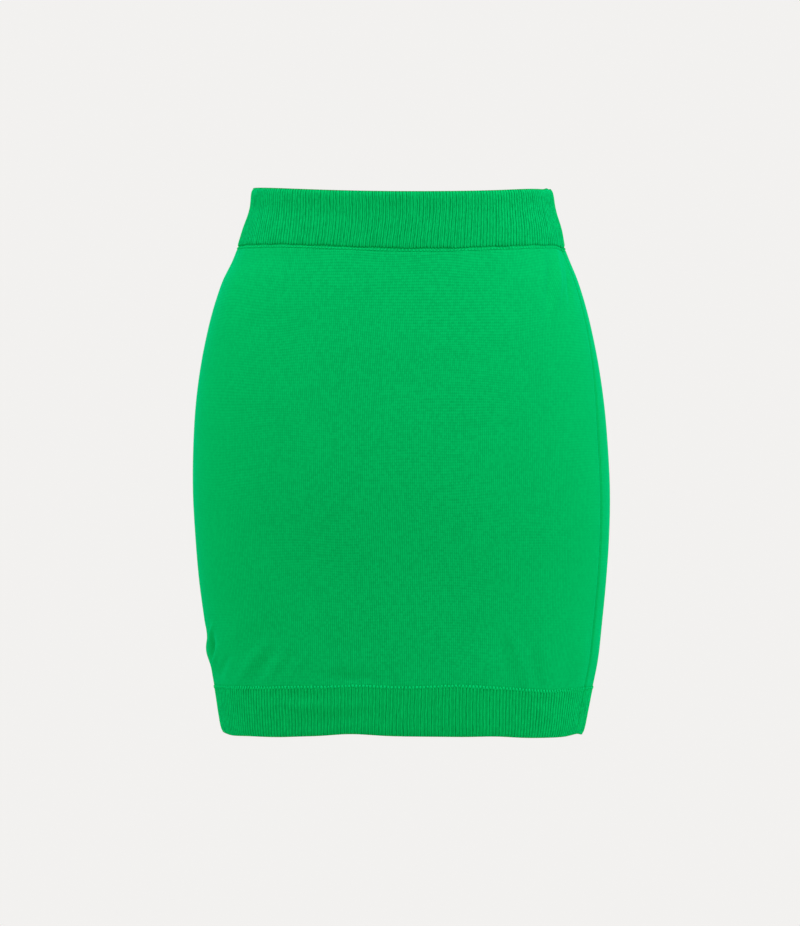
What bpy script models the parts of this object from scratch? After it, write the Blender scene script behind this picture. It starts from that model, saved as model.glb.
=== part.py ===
"""A knitted mini skirt, held open as it is worn: a folded rib waistband, two plain jersey panels and a rib hem.

Lengths are in millimetres and become metres when a piece is made. The origin is the middle of the waistband.
X runs to the right, Y to the back and Z up, so the front faces -Y. A place on the cloth is an angle round the
skirt, in degrees from the front middle and growing to the right, and a drop below the waist edge.
"""

import math
from collections import namedtuple
from functools import lru_cache

import bmesh
import bpy
import numpy as np

# Driving sizes, in millimetres
SKIRT_LENGTH = 445.0
BAND_HEIGHT = 47.0
HEM_HEIGHT = 37.0
HEM_LINE = SKIRT_LENGTH - HEM_HEIGHT
ORIGIN_DROP = BAND_HEIGHT / 2

# Walls: the waistband is rib folded double, the body is fine jersey, the hem is single rib
BAND_WALL = 3.0
BODY_WALL = 1.5
HEM_WALL = 2.2
BAND_PROUD = 0.7
HEM_PROUD = 0.3
SEAM_GAP = 0.3

# Ribs, counted all round, and how far one stands above the groove beside it
BAND_RIBS = 264
HEM_RIBS = 286
RIB_RELIEF = 0.45

# The side seams have slipped round the figure, the right one forwards by this angle in degrees
SEAM_TURN = 17.5

# How the level lines of the cloth bend: down at the middle of the waist edge and, more narrowly and a little
# to the right, of the waistband's seam, and up and aslant at the hem's top line. The angle is in degrees.
FRONT_WAIST_DIP = 6.1
FRONT_SEAM_DIP = 5.0
SEAM_DIP_ANGLE = 6.0
BACK_WAIST_DIP = 2.0
FRONT_HEM_RISE = 3.3
BACK_HEM_RISE = 1.5
HEM_TILT = 0.9
HEM_SAG = 1.8

# The sections of the body cloth's outer face. The waistband and the hem stand proud of them.
Section = namedtuple("Section", "drop half_width lean front_depth back_depth")
SECTIONS = (
    Section(0.0, 123.0, 0.5, 93.0, 90.0),
    Section(17.5, 125.1, 0.9, 94.0, 91.0),
    Section(34.0, 130.4, 0.5, 96.5, 93.5),
    Section(47.0, 133.7, -0.2, 98.6, 95.9),
    Section(59.0, 138.1, -0.3, 100.6, 98.4),
    Section(75.0, 145.3, -1.0, 103.1, 101.4),
    Section(91.0, 150.7, -1.2, 105.3, 104.3),
    Section(132.0, 160.7, -1.2, 109.9, 111.5),
    Section(173.0, 167.0, -1.2, 112.9, 117.0),
    Section(214.0, 170.1, -0.9, 114.2, 119.5),
    Section(247.0, 171.0, -0.3, 113.8, 118.5),
    Section(288.0, 169.5, 0.6, 111.0, 114.5),
    Section(321.0, 166.9, 1.0, 108.3, 111.0),
    Section(354.0, 163.1, 1.6, 106.2, 108.5),
    Section(387.0, 158.9, 2.0, 104.3, 106.6),
    Section(408.0, 155.0, 1.7, 103.2, 105.6),
    Section(430.0, 151.2, 1.2, 102.1, 104.4),
    Section(445.0, 148.4, 0.9, 101.2, 103.4),
)

# Folds are soft ridges, or troughs where the rise is negative. A slant of 0 runs level, 90 straight down,
# and between them to the right and upwards. Length and width are those at which the rise has mostly gone.
Fold = namedtuple("Fold", "angle drop slant length width rise")
FOLDS = (
    # the pucker at the lower left edge, and the creases that fan out of it
    Fold(-95.0, 384.0, 96.0, 20.0, 8.0, 3.6),
    Fold(-83.5, 374.0, 82.0, 20.0, 7.0, -1.8),
    Fold(-75.0, 384.0, 70.0, 17.0, 5.5, 1.1),
    Fold(-64.0, 382.0, 30.0, 22.0, 7.0, -1.0),
    Fold(-55.0, 387.0, 40.0, 23.0, 7.0, 0.9),
    Fold(-42.5, 389.0, 50.0, 18.0, 7.0, 0.7),
    # the fan above the hem at the right
    Fold(25.0, 390.0, 72.0, 22.0, 8.0, 0.8),
    Fold(30.0, 373.0, 92.0, 16.0, 6.0, -0.8),
    Fold(36.0, 384.0, 110.0, 27.0, 8.0, 0.9),
    Fold(46.0, 385.0, 105.0, 22.0, 8.0, 0.6),
    # the upright folds below the waistband's right corner
    Fold(58.5, 94.0, 92.0, 30.0, 7.0, -0.8),
    Fold(64.5, 90.0, 92.0, 26.0, 6.0, 0.8),
    # like ones on the back
    Fold(104.0, 382.0, 120.0, 22.0, 8.0, -1.0),
    Fold(122.0, 386.0, 135.0, 24.0, 8.0, 0.9),
    Fold(163.0, 384.0, 78.0, 24.0, 9.0, 0.8),
    Fold(204.0, 379.0, 104.0, 22.0, 8.0, -0.8),
    Fold(228.0, 385.0, 50.0, 24.0, 8.0, 0.9),
    Fold(120.0, 92.0, 88.0, 28.0, 8.0, -0.7),
    Fold(236.0, 96.0, 92.0, 30.0, 8.0, -0.7),
)

# Places where the hem's edge rides up, or down where the lift is negative
Wave = namedtuple("Wave", "angle spread lift")
HEM_WAVES = (
    Wave(-33.0, 8.0, 0.7),
    Wave(-17.0, 10.0, 2.3),
    Wave(30.0, 8.0, 0.8),
    Wave(46.0, 9.0, -0.5),
    Wave(77.0, 8.0, 0.7),
    Wave(150.0, 12.0, 1.4),
    Wave(205.0, 14.0, -0.9),
)

# A half of the skirt starts at one side seam and ends half a turn on
Half = namedtuple("Half", "name first_seam")
FRONT = Half("front", -90.0 - SEAM_TURN)
BACK = Half("back", 90.0 - SEAM_TURN)
HALF_TURN = 180.0

# Columns and rows of each wall
BODY_COLUMNS = 42
BODY_ROWS = 21
INNER_COLUMNS = 48
COLUMNS_PER_RIB = 2
ARC_SAMPLES = 720

# Where the body's columns and rows crowd, as shares of its width and length, for the finest folds
CROWDED_COLUMNS = (0.16, 0.13, 1.3)
CROWDED_ROWS = (0.92, 0.14, 1.6)

COTTON_GREEN = (0.0012, 0.434, 0.102, 1.0)
RIB_GREEN = (0.0012, 0.40, 0.095, 1.0)


def clear_scene():
    """Removes whatever the scene holds."""
    for thing in list(bpy.data.objects):
        bpy.data.objects.remove(thing, do_unlink=True)


def smooth_step(value, low, high):
    """0 below low, 1 above high and a smooth rise between them."""
    share = min(max((value - low) / (high - low), 0.0), 1.0)
    return share * share * (3.0 - 2.0 * share)


@lru_cache(maxsize=None)
def section_at(drop):
    """The section at a drop, on a smooth curve through the table's rows."""
    table = np.array(SECTIONS)
    drops = table[:, 0]
    slopes = np.gradient(table, drops, axis=0)
    row = int(np.clip(np.searchsorted(drops, drop) - 1, 0, len(drops) - 2))
    step = drops[row + 1] - drops[row]
    share = (drop - drops[row]) / step
    start, end = table[row], table[row + 1]
    leave, arrive = slopes[row] * step, slopes[row + 1] * step
    cubed, squared = share**3, share**2
    mix = (2 * cubed - 3 * squared + 1) * start + (cubed - 2 * squared + share) * leave
    return Section(*(mix + (3 * squared - 2 * cubed) * end + (cubed - squared) * arrive))


def fold_rise(angle, drop):
    """How far the folds move the cloth outwards at a place on it."""
    section = section_at(drop)
    per_degree = math.radians(section.half_width + section.front_depth) / 2
    total = 0.0
    for fold in FOLDS:
        across = ((angle - fold.angle + 180.0) % 360.0 - 180.0) * per_degree
        up = fold.drop - drop
        turn = math.radians(fold.slant)
        along = across * math.cos(turn) + up * math.sin(turn)
        aside = up * math.cos(turn) - across * math.sin(turn)
        total += fold.rise * math.exp(-((along / fold.length) ** 2) - (aside / fold.width) ** 2)
    return total


def level_shift(angle, drop):
    """How far the cloth's level lines stand above an even height at a place on it."""
    turn = math.radians(angle)
    facing = math.cos(turn) ** 2
    in_front = math.cos(turn) > 0
    hem_rise = FRONT_HEM_RISE if in_front else BACK_HEM_RISE
    edge_dip = (FRONT_WAIST_DIP if in_front else BACK_WAIST_DIP) * facing
    seam_dip = edge_dip
    if in_front:
        seam_dip = FRONT_SEAM_DIP * math.cos(turn - math.radians(SEAM_DIP_ANGLE)) ** 4
    near_seam = smooth_step(drop, 0.0, BAND_HEIGHT)
    middle = SKIRT_LENGTH / 2
    near_waist = 1.0 - smooth_step(drop, BAND_HEIGHT, middle)
    near_edge = smooth_step(drop, HEM_LINE - HEM_HEIGHT, SKIRT_LENGTH)
    near_line = smooth_step(drop, middle, HEM_LINE) * (1.0 - smooth_step(drop, HEM_LINE, SKIRT_LENGTH))
    waves = 0.0
    for wave in HEM_WAVES:
        away = (angle - wave.angle + 180.0) % 360.0 - 180.0
        waves += wave.lift * math.exp(-((away / wave.spread) ** 2))
    shift = -(edge_dip + (seam_dip - edge_dip) * near_seam) * near_waist
    shift += (hem_rise * facing - HEM_TILT * math.sin(turn)) * near_line
    return shift + (waves - HEM_SAG * math.sin(2 * turn) ** 2) * near_edge


def cloth_point(angle, drop, out):
    """A point of the cloth in millimetres, moved out from the section by a distance."""
    section = section_at(drop)
    turn = math.radians(angle)
    depth = section.front_depth if math.cos(turn) > 0 else section.back_depth
    out_x = depth * math.sin(turn)
    out_y = -section.half_width * math.cos(turn)
    scale = (out + fold_rise(angle, drop)) / math.hypot(out_x, out_y)
    x = section.lean + section.half_width * math.sin(turn) + out_x * scale
    y = -depth * math.cos(turn) + out_y * scale
    return x, y, ORIGIN_DROP - drop + level_shift(angle, drop)


def seam_to_seam(half, drop, shares):
    """The angles at shares of the way round a half, measured along its arc between the seam gaps."""
    section = section_at(drop)
    angles = np.linspace(half.first_seam, half.first_seam + HALF_TURN, ARC_SAMPLES)
    turns = np.radians(angles)
    depths = np.where(np.cos(turns) > 0, section.front_depth, section.back_depth)
    arc_x = section.half_width * np.sin(turns)
    arc_y = -depths * np.cos(turns)
    lengths = np.concatenate([[0.0], np.cumsum(np.hypot(np.diff(arc_x), np.diff(arc_y)))])
    room = lengths[-1] - SEAM_GAP
    return [float(np.interp(SEAM_GAP / 2 + share * room, lengths, angles)) for share in shares]


def even_shares(count):
    """Shares from 0 to 1 in equal steps."""
    return [step / count for step in range(count + 1)]


def crowded_shares(count, crowd):
    """Shares from 0 to 1 whose steps are finer round one place. The crowd is its place, spread and strength."""
    place, spread, strength = crowd
    fine = np.linspace(0.0, 1.0, ARC_SAMPLES)
    density = 1.0 + strength * np.exp(-(((fine - place) / spread) ** 2))
    total = np.concatenate([[0.0], np.cumsum((density[1:] + density[:-1]) / 2)])
    return [float(share) for share in np.interp(np.linspace(0.0, total[-1], count + 1), total, fine)]


def plain_row(half, drop, out, shares):
    """A level row of points from seam to seam."""
    return [cloth_point(angle, drop, out) for angle in seam_to_seam(half, drop, shares)]


def ribbed_row(half, drop, out, relief, ribs):
    """A level row with a crest at each rib and a groove between two, ending in a groove at each seam."""
    columns = COLUMNS_PER_RIB * ribs
    angles = seam_to_seam(half, drop, even_shares(columns))
    return [cloth_point(angle, drop, out - relief * (column % 2 == 0)) for column, angle in enumerate(angles)]


def lace(mesh, upper, lower):
    """Joins two rows of corners with triangles, however many corners each has."""
    at_upper, at_lower = 0, 0
    last_upper, last_lower = len(upper) - 1, len(lower) - 1
    while at_upper < last_upper or at_lower < last_lower:
        next_upper = (at_upper + 1) * last_lower
        next_lower = (at_lower + 1) * last_upper
        if at_lower == last_lower or (at_upper < last_upper and next_upper <= next_lower):
            mesh.faces.new((upper[at_upper], lower[at_lower], upper[at_upper + 1]))
            at_upper += 1
        else:
            mesh.faces.new((upper[at_upper], lower[at_lower], lower[at_lower + 1]))
            at_lower += 1


def quilt(mesh, rows):
    """Joins rows that have as many corners each with four-sided faces."""
    for upper, lower in zip(rows, rows[1:]):
        for column in range(len(upper) - 1):
            mesh.faces.new((upper[column], lower[column], lower[column + 1], upper[column + 1]))


def make_wall(name, outer, inner, material, collection):
    """A closed wall from the outer rows and the inner rows, both from top to bottom and from seam to seam."""
    mesh = bmesh.new()
    face_rows = [[mesh.verts.new(np.array(point) / 1000.0) for point in row] for row in outer]
    back_rows = [[mesh.verts.new(np.array(point) / 1000.0) for point in row[::-1]] for row in inner]
    quilt(mesh, face_rows)
    quilt(mesh, back_rows)
    lace(mesh, back_rows[0][::-1], face_rows[0])
    lace(mesh, face_rows[-1], back_rows[-1][::-1])
    lace(mesh, [row[-1] for row in back_rows], [row[0] for row in face_rows])
    lace(mesh, [row[-1] for row in face_rows], [row[0] for row in back_rows])
    bmesh.ops.recalc_face_normals(mesh, faces=mesh.faces[:])
    data = bpy.data.meshes.new(name)
    mesh.to_mesh(data)
    mesh.free()
    data.shade_smooth()
    data.set_sharp_from_angle(angle=math.radians(50.0))
    data.materials.append(material)
    piece = bpy.data.objects.new(name, data)
    collection.objects.link(piece)
    return piece


def make_waistband(half, material, collection):
    """Rib folded double: a round fold at the waist edge, ribs outside and a plain inside."""
    bottom = BAND_HEIGHT - SEAM_GAP / 2
    ribs = BAND_RIBS // 2
    # drop, inset from the face, share of the rib relief
    profile = ((0.0, BAND_WALL / 2, 0.2), (3.6, 0.0, 1.0), (20.0, 0.0, 1.0), (bottom, 0.0, 1.0))
    outer = [ribbed_row(half, drop, BAND_PROUD - inset, RIB_RELIEF * relief, ribs) for drop, inset, relief in profile]
    shares = even_shares(INNER_COLUMNS)
    inside = BAND_PROUD - BAND_WALL
    inner = [plain_row(half, drop, inside, shares) for drop in (3.0, 20.0, 34.0, bottom)]
    return make_wall("waistband_" + half.name, outer, inner, material, collection)


def make_body(half, material, collection):
    """A plain jersey panel between the waistband and the hem."""
    top = BAND_HEIGHT + SEAM_GAP / 2
    bottom = HEM_LINE - SEAM_GAP / 2
    columns = crowded_shares(BODY_COLUMNS, CROWDED_COLUMNS)
    drops = [top + share * (bottom - top) for share in crowded_shares(BODY_ROWS, CROWDED_ROWS)]
    outer = [plain_row(half, drop, 0.0, columns) for drop in drops]
    inner = [plain_row(half, drop, -BODY_WALL, columns) for drop in drops]
    return make_wall(half.name + "_panel", outer, inner, material, collection)


def make_hem(half, material, collection):
    """Single rib with a soft lower edge: ribs outside and a plain inside."""
    top = HEM_LINE + SEAM_GAP / 2
    ribs = HEM_RIBS // 2
    # drop, inset from the face, share of the rib relief
    profile = ((top, 0.0, 1.0), (428.0, 0.0, 1.0), (SKIRT_LENGTH - 2.4, 0.0, 1.0), (SKIRT_LENGTH, HEM_WALL / 2, 0.2))
    outer = [ribbed_row(half, drop, HEM_PROUD - inset, RIB_RELIEF * relief, ribs) for drop, inset, relief in profile]
    shares = even_shares(INNER_COLUMNS)
    inside = HEM_PROUD - HEM_WALL
    inner = [plain_row(half, drop, inside, shares) for drop in (top, 428.0, SKIRT_LENGTH - 2.0)]
    return make_wall("hem_" + half.name, outer, inner, material, collection)


def knit_material(name, colour, roughness):
    """Matt dyed yarn."""
    material = bpy.data.materials.new(name)
    material.use_nodes = True
    shader = next(node for node in material.node_tree.nodes if node.type == "BSDF_PRINCIPLED")
    shader.inputs["Base Color"].default_value = colour
    shader.inputs["Roughness"].default_value = roughness
    shader.inputs["Metallic"].default_value = 0.0
    material.diffuse_color = colour
    return material


def main():
    clear_scene()
    skirt = bpy.data.collections.new("mini_skirt")
    bpy.context.scene.collection.children.link(skirt)
    for half in (FRONT, BACK):
        make_waistband(half, knit_material("waistband_rib_" + half.name, RIB_GREEN, 0.85), skirt)
        make_body(half, knit_material("body_jersey_" + half.name, COTTON_GREEN, 0.8), skirt)
        make_hem(half, knit_material("hem_rib_" + half.name, RIB_GREEN, 0.85), skirt)


main()
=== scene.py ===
import math
import random
from collections import namedtuple

import bmesh
import bpy
import numpy as np
from mathutils import Euler, Matrix, Vector


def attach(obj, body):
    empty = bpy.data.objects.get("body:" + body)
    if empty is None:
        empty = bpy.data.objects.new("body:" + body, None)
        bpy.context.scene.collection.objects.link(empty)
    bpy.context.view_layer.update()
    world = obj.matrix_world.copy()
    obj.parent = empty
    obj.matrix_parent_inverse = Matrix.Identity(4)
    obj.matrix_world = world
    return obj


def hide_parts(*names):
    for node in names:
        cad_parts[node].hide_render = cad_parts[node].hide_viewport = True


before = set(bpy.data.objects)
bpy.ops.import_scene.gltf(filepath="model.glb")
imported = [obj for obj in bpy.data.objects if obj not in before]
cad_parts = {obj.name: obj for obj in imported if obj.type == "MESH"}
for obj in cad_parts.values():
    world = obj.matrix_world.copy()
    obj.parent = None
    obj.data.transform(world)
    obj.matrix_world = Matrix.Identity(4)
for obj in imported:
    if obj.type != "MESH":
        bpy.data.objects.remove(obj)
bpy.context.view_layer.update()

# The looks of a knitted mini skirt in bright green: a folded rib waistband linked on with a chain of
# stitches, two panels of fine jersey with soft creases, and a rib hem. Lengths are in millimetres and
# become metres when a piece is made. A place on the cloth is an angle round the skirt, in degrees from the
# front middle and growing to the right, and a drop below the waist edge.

MM = 0.001
CENTIMETRE = 10.0

# ---------------- sizes of the skirt

SKIRT_LENGTH = 445.0
BAND_HEIGHT = 47.0
HEM_HEIGHT = 37.0
HEM_LINE = SKIRT_LENGTH - HEM_HEIGHT
ORIGIN_DROP = BAND_HEIGHT / 2

BAND_WALL = 3.0
BODY_WALL = 1.5
HEM_WALL = 2.2
BAND_PROUD = 0.7
HEM_PROUD = 0.3

BAND_RIBS = 264
HEM_RIBS = 286
RIB_RELIEF = 0.45
WALES = 520
COURSES = 166

SEAM_TURN = 17.5
SEAM_GAP = 0.12

FRONT_WAIST_DIP = 6.1
FRONT_SEAM_DIP = 5.0
SEAM_DIP_ANGLE = 6.0
BACK_WAIST_DIP = 2.0
FRONT_HEM_RISE = 3.3
BACK_HEM_RISE = 1.5
HEM_TILT = 0.9
HEM_SAG = 1.8

# The sections of the body cloth's outer face
Section = namedtuple("Section", "drop half_width lean front_depth back_depth")
SECTIONS = (
    Section(0.0, 123.0, 0.5, 93.0, 90.0),
    Section(17.5, 125.1, 0.9, 94.0, 91.0),
    Section(34.0, 130.4, 0.5, 96.5, 93.5),
    Section(47.0, 133.7, -0.2, 98.6, 95.9),
    Section(59.0, 138.1, -0.3, 100.6, 98.4),
    Section(75.0, 145.3, -1.0, 103.1, 101.4),
    Section(91.0, 150.7, -1.2, 105.3, 104.3),
    Section(132.0, 160.7, -1.2, 109.9, 111.5),
    Section(173.0, 167.0, -1.2, 112.9, 117.0),
    Section(214.0, 170.1, -0.9, 114.2, 119.5),
    Section(247.0, 171.0, -0.3, 113.8, 118.5),
    Section(288.0, 169.5, 0.6, 111.0, 114.5),
    Section(321.0, 166.9, 1.0, 108.3, 111.0),
    Section(354.0, 163.1, 1.6, 106.2, 108.5),
    Section(387.0, 158.9, 2.0, 104.3, 106.6),
    Section(408.0, 155.0, 1.7, 103.2, 105.6),
    Section(430.0, 151.2, 1.2, 102.1, 104.4),
    Section(445.0, 148.4, 0.9, 101.2, 103.4),
)
TABLE = np.array(SECTIONS)
SLOPES = np.gradient(TABLE, TABLE[:, 0], axis=0)

# Creases are soft ridges, or troughs where the rise is negative. A slant of 0 runs level, 90 straight down,
# and between them to the right and upwards. The width is that of the side above or to the left of the
# crease line, the far width that of its other side, and the bow is how far the line's ends curl to the
# first of them.
Crease = namedtuple("Crease", "angle drop slant length width far_width bow rise")
CREASES = (
    # the pucker at the lower left edge, with a thin bright crease above it and one below
    Crease(-94.0, 380.0, 96.0, 10.5, 8.0, 8.0, 0.0, 2.8),
    Crease(-90.0, 366.0, 90.0, 6.0, 12.0, 12.0, 0.0, -1.0),
    Crease(-85.0, 377.0, 80.0, 10.0, 4.0, 4.0, 0.0, 1.0),
    Crease(-78.0, 375.5, 50.0, 13.0, 5.0, 6.5, 0.0, -4.0),
    Crease(-76.5, 364.5, 34.0, 12.0, 2.2, 3.0, 0.0, 1.7),
    Crease(-78.0, 389.5, 36.0, 16.0, 3.8, 5.0, 0.0, 2.2),
    # the creases that fan out of it
    Crease(-68.5, 391.5, 32.0, 14.0, 3.2, 4.5, 0.5, -1.3),
    Crease(-52.5, 390.0, 40.0, 21.0, 5.0, 5.0, 0.5, 1.4),
    Crease(-46.0, 391.0, 46.0, 16.0, 4.5, 5.0, 0.5, -1.3),
    Crease(-40.0, 390.0, 46.0, 16.0, 4.5, 5.0, 0.0, 0.8),
    Crease(-36.0, 387.0, 45.0, 14.0, 4.5, 5.0, 0.0, -0.6),
    Crease(-30.5, 385.0, 46.0, 15.0, 5.5, 6.0, 0.0, 0.5),
    Crease(-58.0, 363.0, 26.0, 28.0, 8.0, 9.0, 0.0, 0.5),
    Crease(-44.0, 369.0, 34.0, 24.0, 7.0, 8.0, 0.0, -0.5),
    # the level trough above the hem, left of the middle
    Crease(-16.5, 401.5, 178.0, 17.0, 4.5, 4.5, 0.0, -1.0),
    Crease(-15.0, 389.0, 4.0, 18.0, 6.0, 6.0, 0.0, 0.4),
    # the fan above the hem at the right
    Crease(24.8, 390.0, 75.0, 20.0, 6.0, 6.0, 0.0, 0.9),
    Crease(30.0, 376.0, 96.0, 15.0, 5.5, 5.5, 0.0, -0.8),
    Crease(35.5, 384.0, 116.0, 25.0, 6.0, 7.0, 0.0, 0.9),
    Crease(41.0, 388.0, 110.0, 18.0, 6.0, 6.0, 0.0, -0.5),
    Crease(45.5, 387.0, 106.0, 20.0, 6.0, 7.0, 0.0, 0.6),
    Crease(56.0, 388.0, 100.0, 18.0, 7.0, 7.0, 0.0, -0.5),
    Crease(66.0, 384.0, 96.0, 24.0, 8.0, 8.0, 0.0, 0.6),
    # the upright folds below the waistband's right corner
    Crease(56.0, 80.0, 60.0, 24.0, 5.0, 3.6, 0.0, -2.5),
    Crease(61.0, 79.0, 57.0, 25.0, 3.6, 4.0, 0.0, 2.7),
    Crease(68.5, 82.0, 60.0, 18.0, 3.5, 3.5, 0.0, -1.9),
    Crease(49.0, 84.0, 80.0, 26.0, 7.0, 7.0, 0.0, 0.5),
    Crease(-62.0, 82.0, 104.0, 26.0, 7.0, 7.0, 0.0, -0.5),
    # faint upright marks on the front
    Crease(9.1, 149.0, 89.0, 24.0, 3.5, 3.5, 0.0, 0.3),
    Crease(29.8, 227.0, 88.0, 28.0, 5.0, 5.0, 0.0, -0.4),
    Crease(-11.3, 269.0, 88.0, 5.0, 3.5, 3.5, 0.0, -0.4),
    # the hem band's own waves
    Crease(-33.0, 415.0, 178.0, 19.0, 4.0, 4.0, 0.0, -0.5),
    Crease(-29.0, 423.0, 178.0, 34.0, 4.0, 4.5, 0.0, 1.0),
    Crease(-28.0, 434.0, 4.0, 31.0, 4.0, 4.5, 0.0, -0.7),
    Crease(13.8, 442.0, 0.0, 8.0, 4.0, 4.0, 0.0, -0.6),
    Crease(50.0, 428.0, 160.0, 20.0, 6.0, 6.0, 0.0, 0.5),
    # like ones on the back
    Crease(104.0, 382.0, 120.0, 22.0, 6.0, 8.0, 0.0, -1.2),
    Crease(112.0, 386.0, 126.0, 20.0, 5.0, 6.0, 0.0, 0.8),
    Crease(122.0, 386.0, 135.0, 24.0, 6.0, 8.0, 0.5, 1.0),
    Crease(132.0, 391.0, 140.0, 17.0, 5.0, 6.0, 0.0, -0.8),
    Crease(163.0, 384.0, 78.0, 24.0, 7.0, 9.0, 0.0, 0.8),
    Crease(170.0, 388.0, 84.0, 18.0, 5.0, 5.0, 0.0, -0.6),
    Crease(204.0, 379.0, 104.0, 22.0, 6.0, 8.0, 0.0, -0.9),
    Crease(212.0, 385.0, 98.0, 18.0, 5.0, 6.0, 0.0, 0.6),
    Crease(228.0, 385.0, 50.0, 24.0, 6.0, 8.0, 0.0, 1.0),
    Crease(238.0, 388.0, 58.0, 18.0, 5.0, 5.0, 0.0, -0.8),
    Crease(120.0, 92.0, 88.0, 28.0, 7.0, 8.0, 0.0, -0.8),
    Crease(129.0, 88.0, 94.0, 22.0, 6.0, 6.0, 0.0, 0.6),
    Crease(236.0, 96.0, 92.0, 30.0, 7.0, 8.0, 0.0, -0.8),
    Crease(190.0, 300.0, 12.0, 40.0, 9.0, 9.0, 0.0, -0.5),
    Crease(160.0, 312.0, 168.0, 44.0, 9.0, 9.0, 0.0, 0.5),
)

# Slow waves of the hem's lower edge
Wave = namedtuple("Wave", "angle spread lift")
HEM_WAVES = (
    Wave(-33.0, 8.0, 0.7),
    Wave(-17.0, 10.0, 2.3),
    Wave(30.0, 8.0, 0.8),
    Wave(46.0, 9.0, -0.5),
    Wave(77.0, 8.0, 0.7),
    Wave(150.0, 12.0, 1.4),
    Wave(205.0, 14.0, -0.9),
)

# Places where the cloth is eased up, or down where the lift is negative, round a point of it
Lift = namedtuple("Lift", "angle drop spread reach lift")
LIFTS = (
    Lift(76.0, 0.0, 14.0, 14.0, -1.3),
    Lift(75.0, 0.0, 3.0, 6.0, 0.9),
    Lift(40.0, 0.0, 26.0, 14.0, -0.7),
    Lift(80.0, 49.0, 7.0, 9.0, -2.0),
    Lift(-93.0, 408.0, 10.0, 20.0, -1.4),
    Lift(-22.0, 408.0, 9.0, 12.0, -0.8),
    Lift(-1.0, 408.0, 9.0, 12.0, -0.8),
    Lift(16.4, 408.0, 7.0, 12.0, 1.2),
    Lift(49.0, 408.0, 12.0, 12.0, -1.2),
    Lift(-70.0, 445.0, 10.0, 14.0, -1.2),
    Lift(83.0, 445.0, 8.0, 14.0, -2.4),
    Lift(62.0, 445.0, 12.0, 14.0, -1.35),
)

# Short puckers that hang from the linked seam: the ones that show, and the number of weaker ones all round
Pucker = namedtuple("Pucker", "angle rise")
SEEN_PUCKERS = (
    Pucker(-29.6, -0.5),
    Pucker(-1.4, -0.45),
    Pucker(1.3, 0.4),
    Pucker(15.7, -0.5),
    Pucker(19.3, 0.45),
    Pucker(39.1, -0.5),
    Pucker(44.5, -0.6),
)
OTHER_PUCKERS = 70
PUCKERS_START = -107.0
PUCKER_PLACES = (0.1, 0.9)
PUCKER_STRENGTHS = (0.3, 1.0)
PUCKER_LENGTH = 9.0
PUCKER_WIDTH = 1.8
PUCKER_RISE = 0.28

# The slack of the body: slow swells round the skirt that begin below the waist and end above the hem
Swell = namedtuple("Swell", "height waves fall start")
SWELLS = (
    Swell(0.16, 5, 41.0, 0.0),
    Swell(0.12, 9, -29.0, 1.3),
)
SWELLS_BEGIN = (60.0, 140.0)
SWELLS_END = (380.0, 440.0)

Half = namedtuple("Half", "name first_seam")
FRONT = Half("front", -90.0 - SEAM_TURN)
BACK = Half("back", 90.0 - SEAM_TURN)
ARC_SAMPLES = 721

# Near the waist the right side seam stands this many degrees nearer the outline, down to these drops
RIGHT_SEAM_SWING = 5.0
RIGHT_SEAM_SETTLES = (70.0, 210.0)

# ---------------- the shape of the cloth


def smooth_step(value, low, high):
    share = np.clip((value - low) / (high - low), 0.0, 1.0)
    return share * share * (3.0 - 2.0 * share)


def bell(distance, spread):
    """1 at no distance, falling smoothly to nothing past a few spreads."""
    return np.exp(-((distance / spread) ** 2))


def sections_at(drops):
    """Half width, lean, front depth and back depth at each drop, on a smooth curve through the table."""
    drops = np.asarray(drops, float)
    rows = np.clip(np.searchsorted(TABLE[:, 0], drops) - 1, 0, len(TABLE) - 2)
    steps = (TABLE[rows + 1, 0] - TABLE[rows, 0])[..., None]
    share = (drops - TABLE[rows, 0])[..., None] / steps
    cubed, squared = share**3, share**2
    mix = (2 * cubed - 3 * squared + 1) * TABLE[rows] + (cubed - 2 * squared + share) * SLOPES[rows] * steps
    mix += (3 * squared - 2 * cubed) * TABLE[rows + 1] + (cubed - squared) * SLOPES[rows + 1] * steps
    return mix[..., 1], mix[..., 2], mix[..., 3], mix[..., 4]


def angle_between(angles, other):
    return (angles - other + 180.0) % 360.0 - 180.0


def seam_puckers():
    """The puckers that show, and seeded weaker ones all round the seam."""
    draw = random.Random(5)
    puckers = list(SEEN_PUCKERS)
    for place in range(OTHER_PUCKERS):
        angle = PUCKERS_START + (place + draw.uniform(*PUCKER_PLACES)) * 360.0 / OTHER_PUCKERS
        rise = draw.choice((-1, 1)) * draw.uniform(*PUCKER_STRENGTHS) * PUCKER_RISE
        puckers.append(Pucker(angle, rise))
    return puckers


PUCKERS = seam_puckers()


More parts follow.
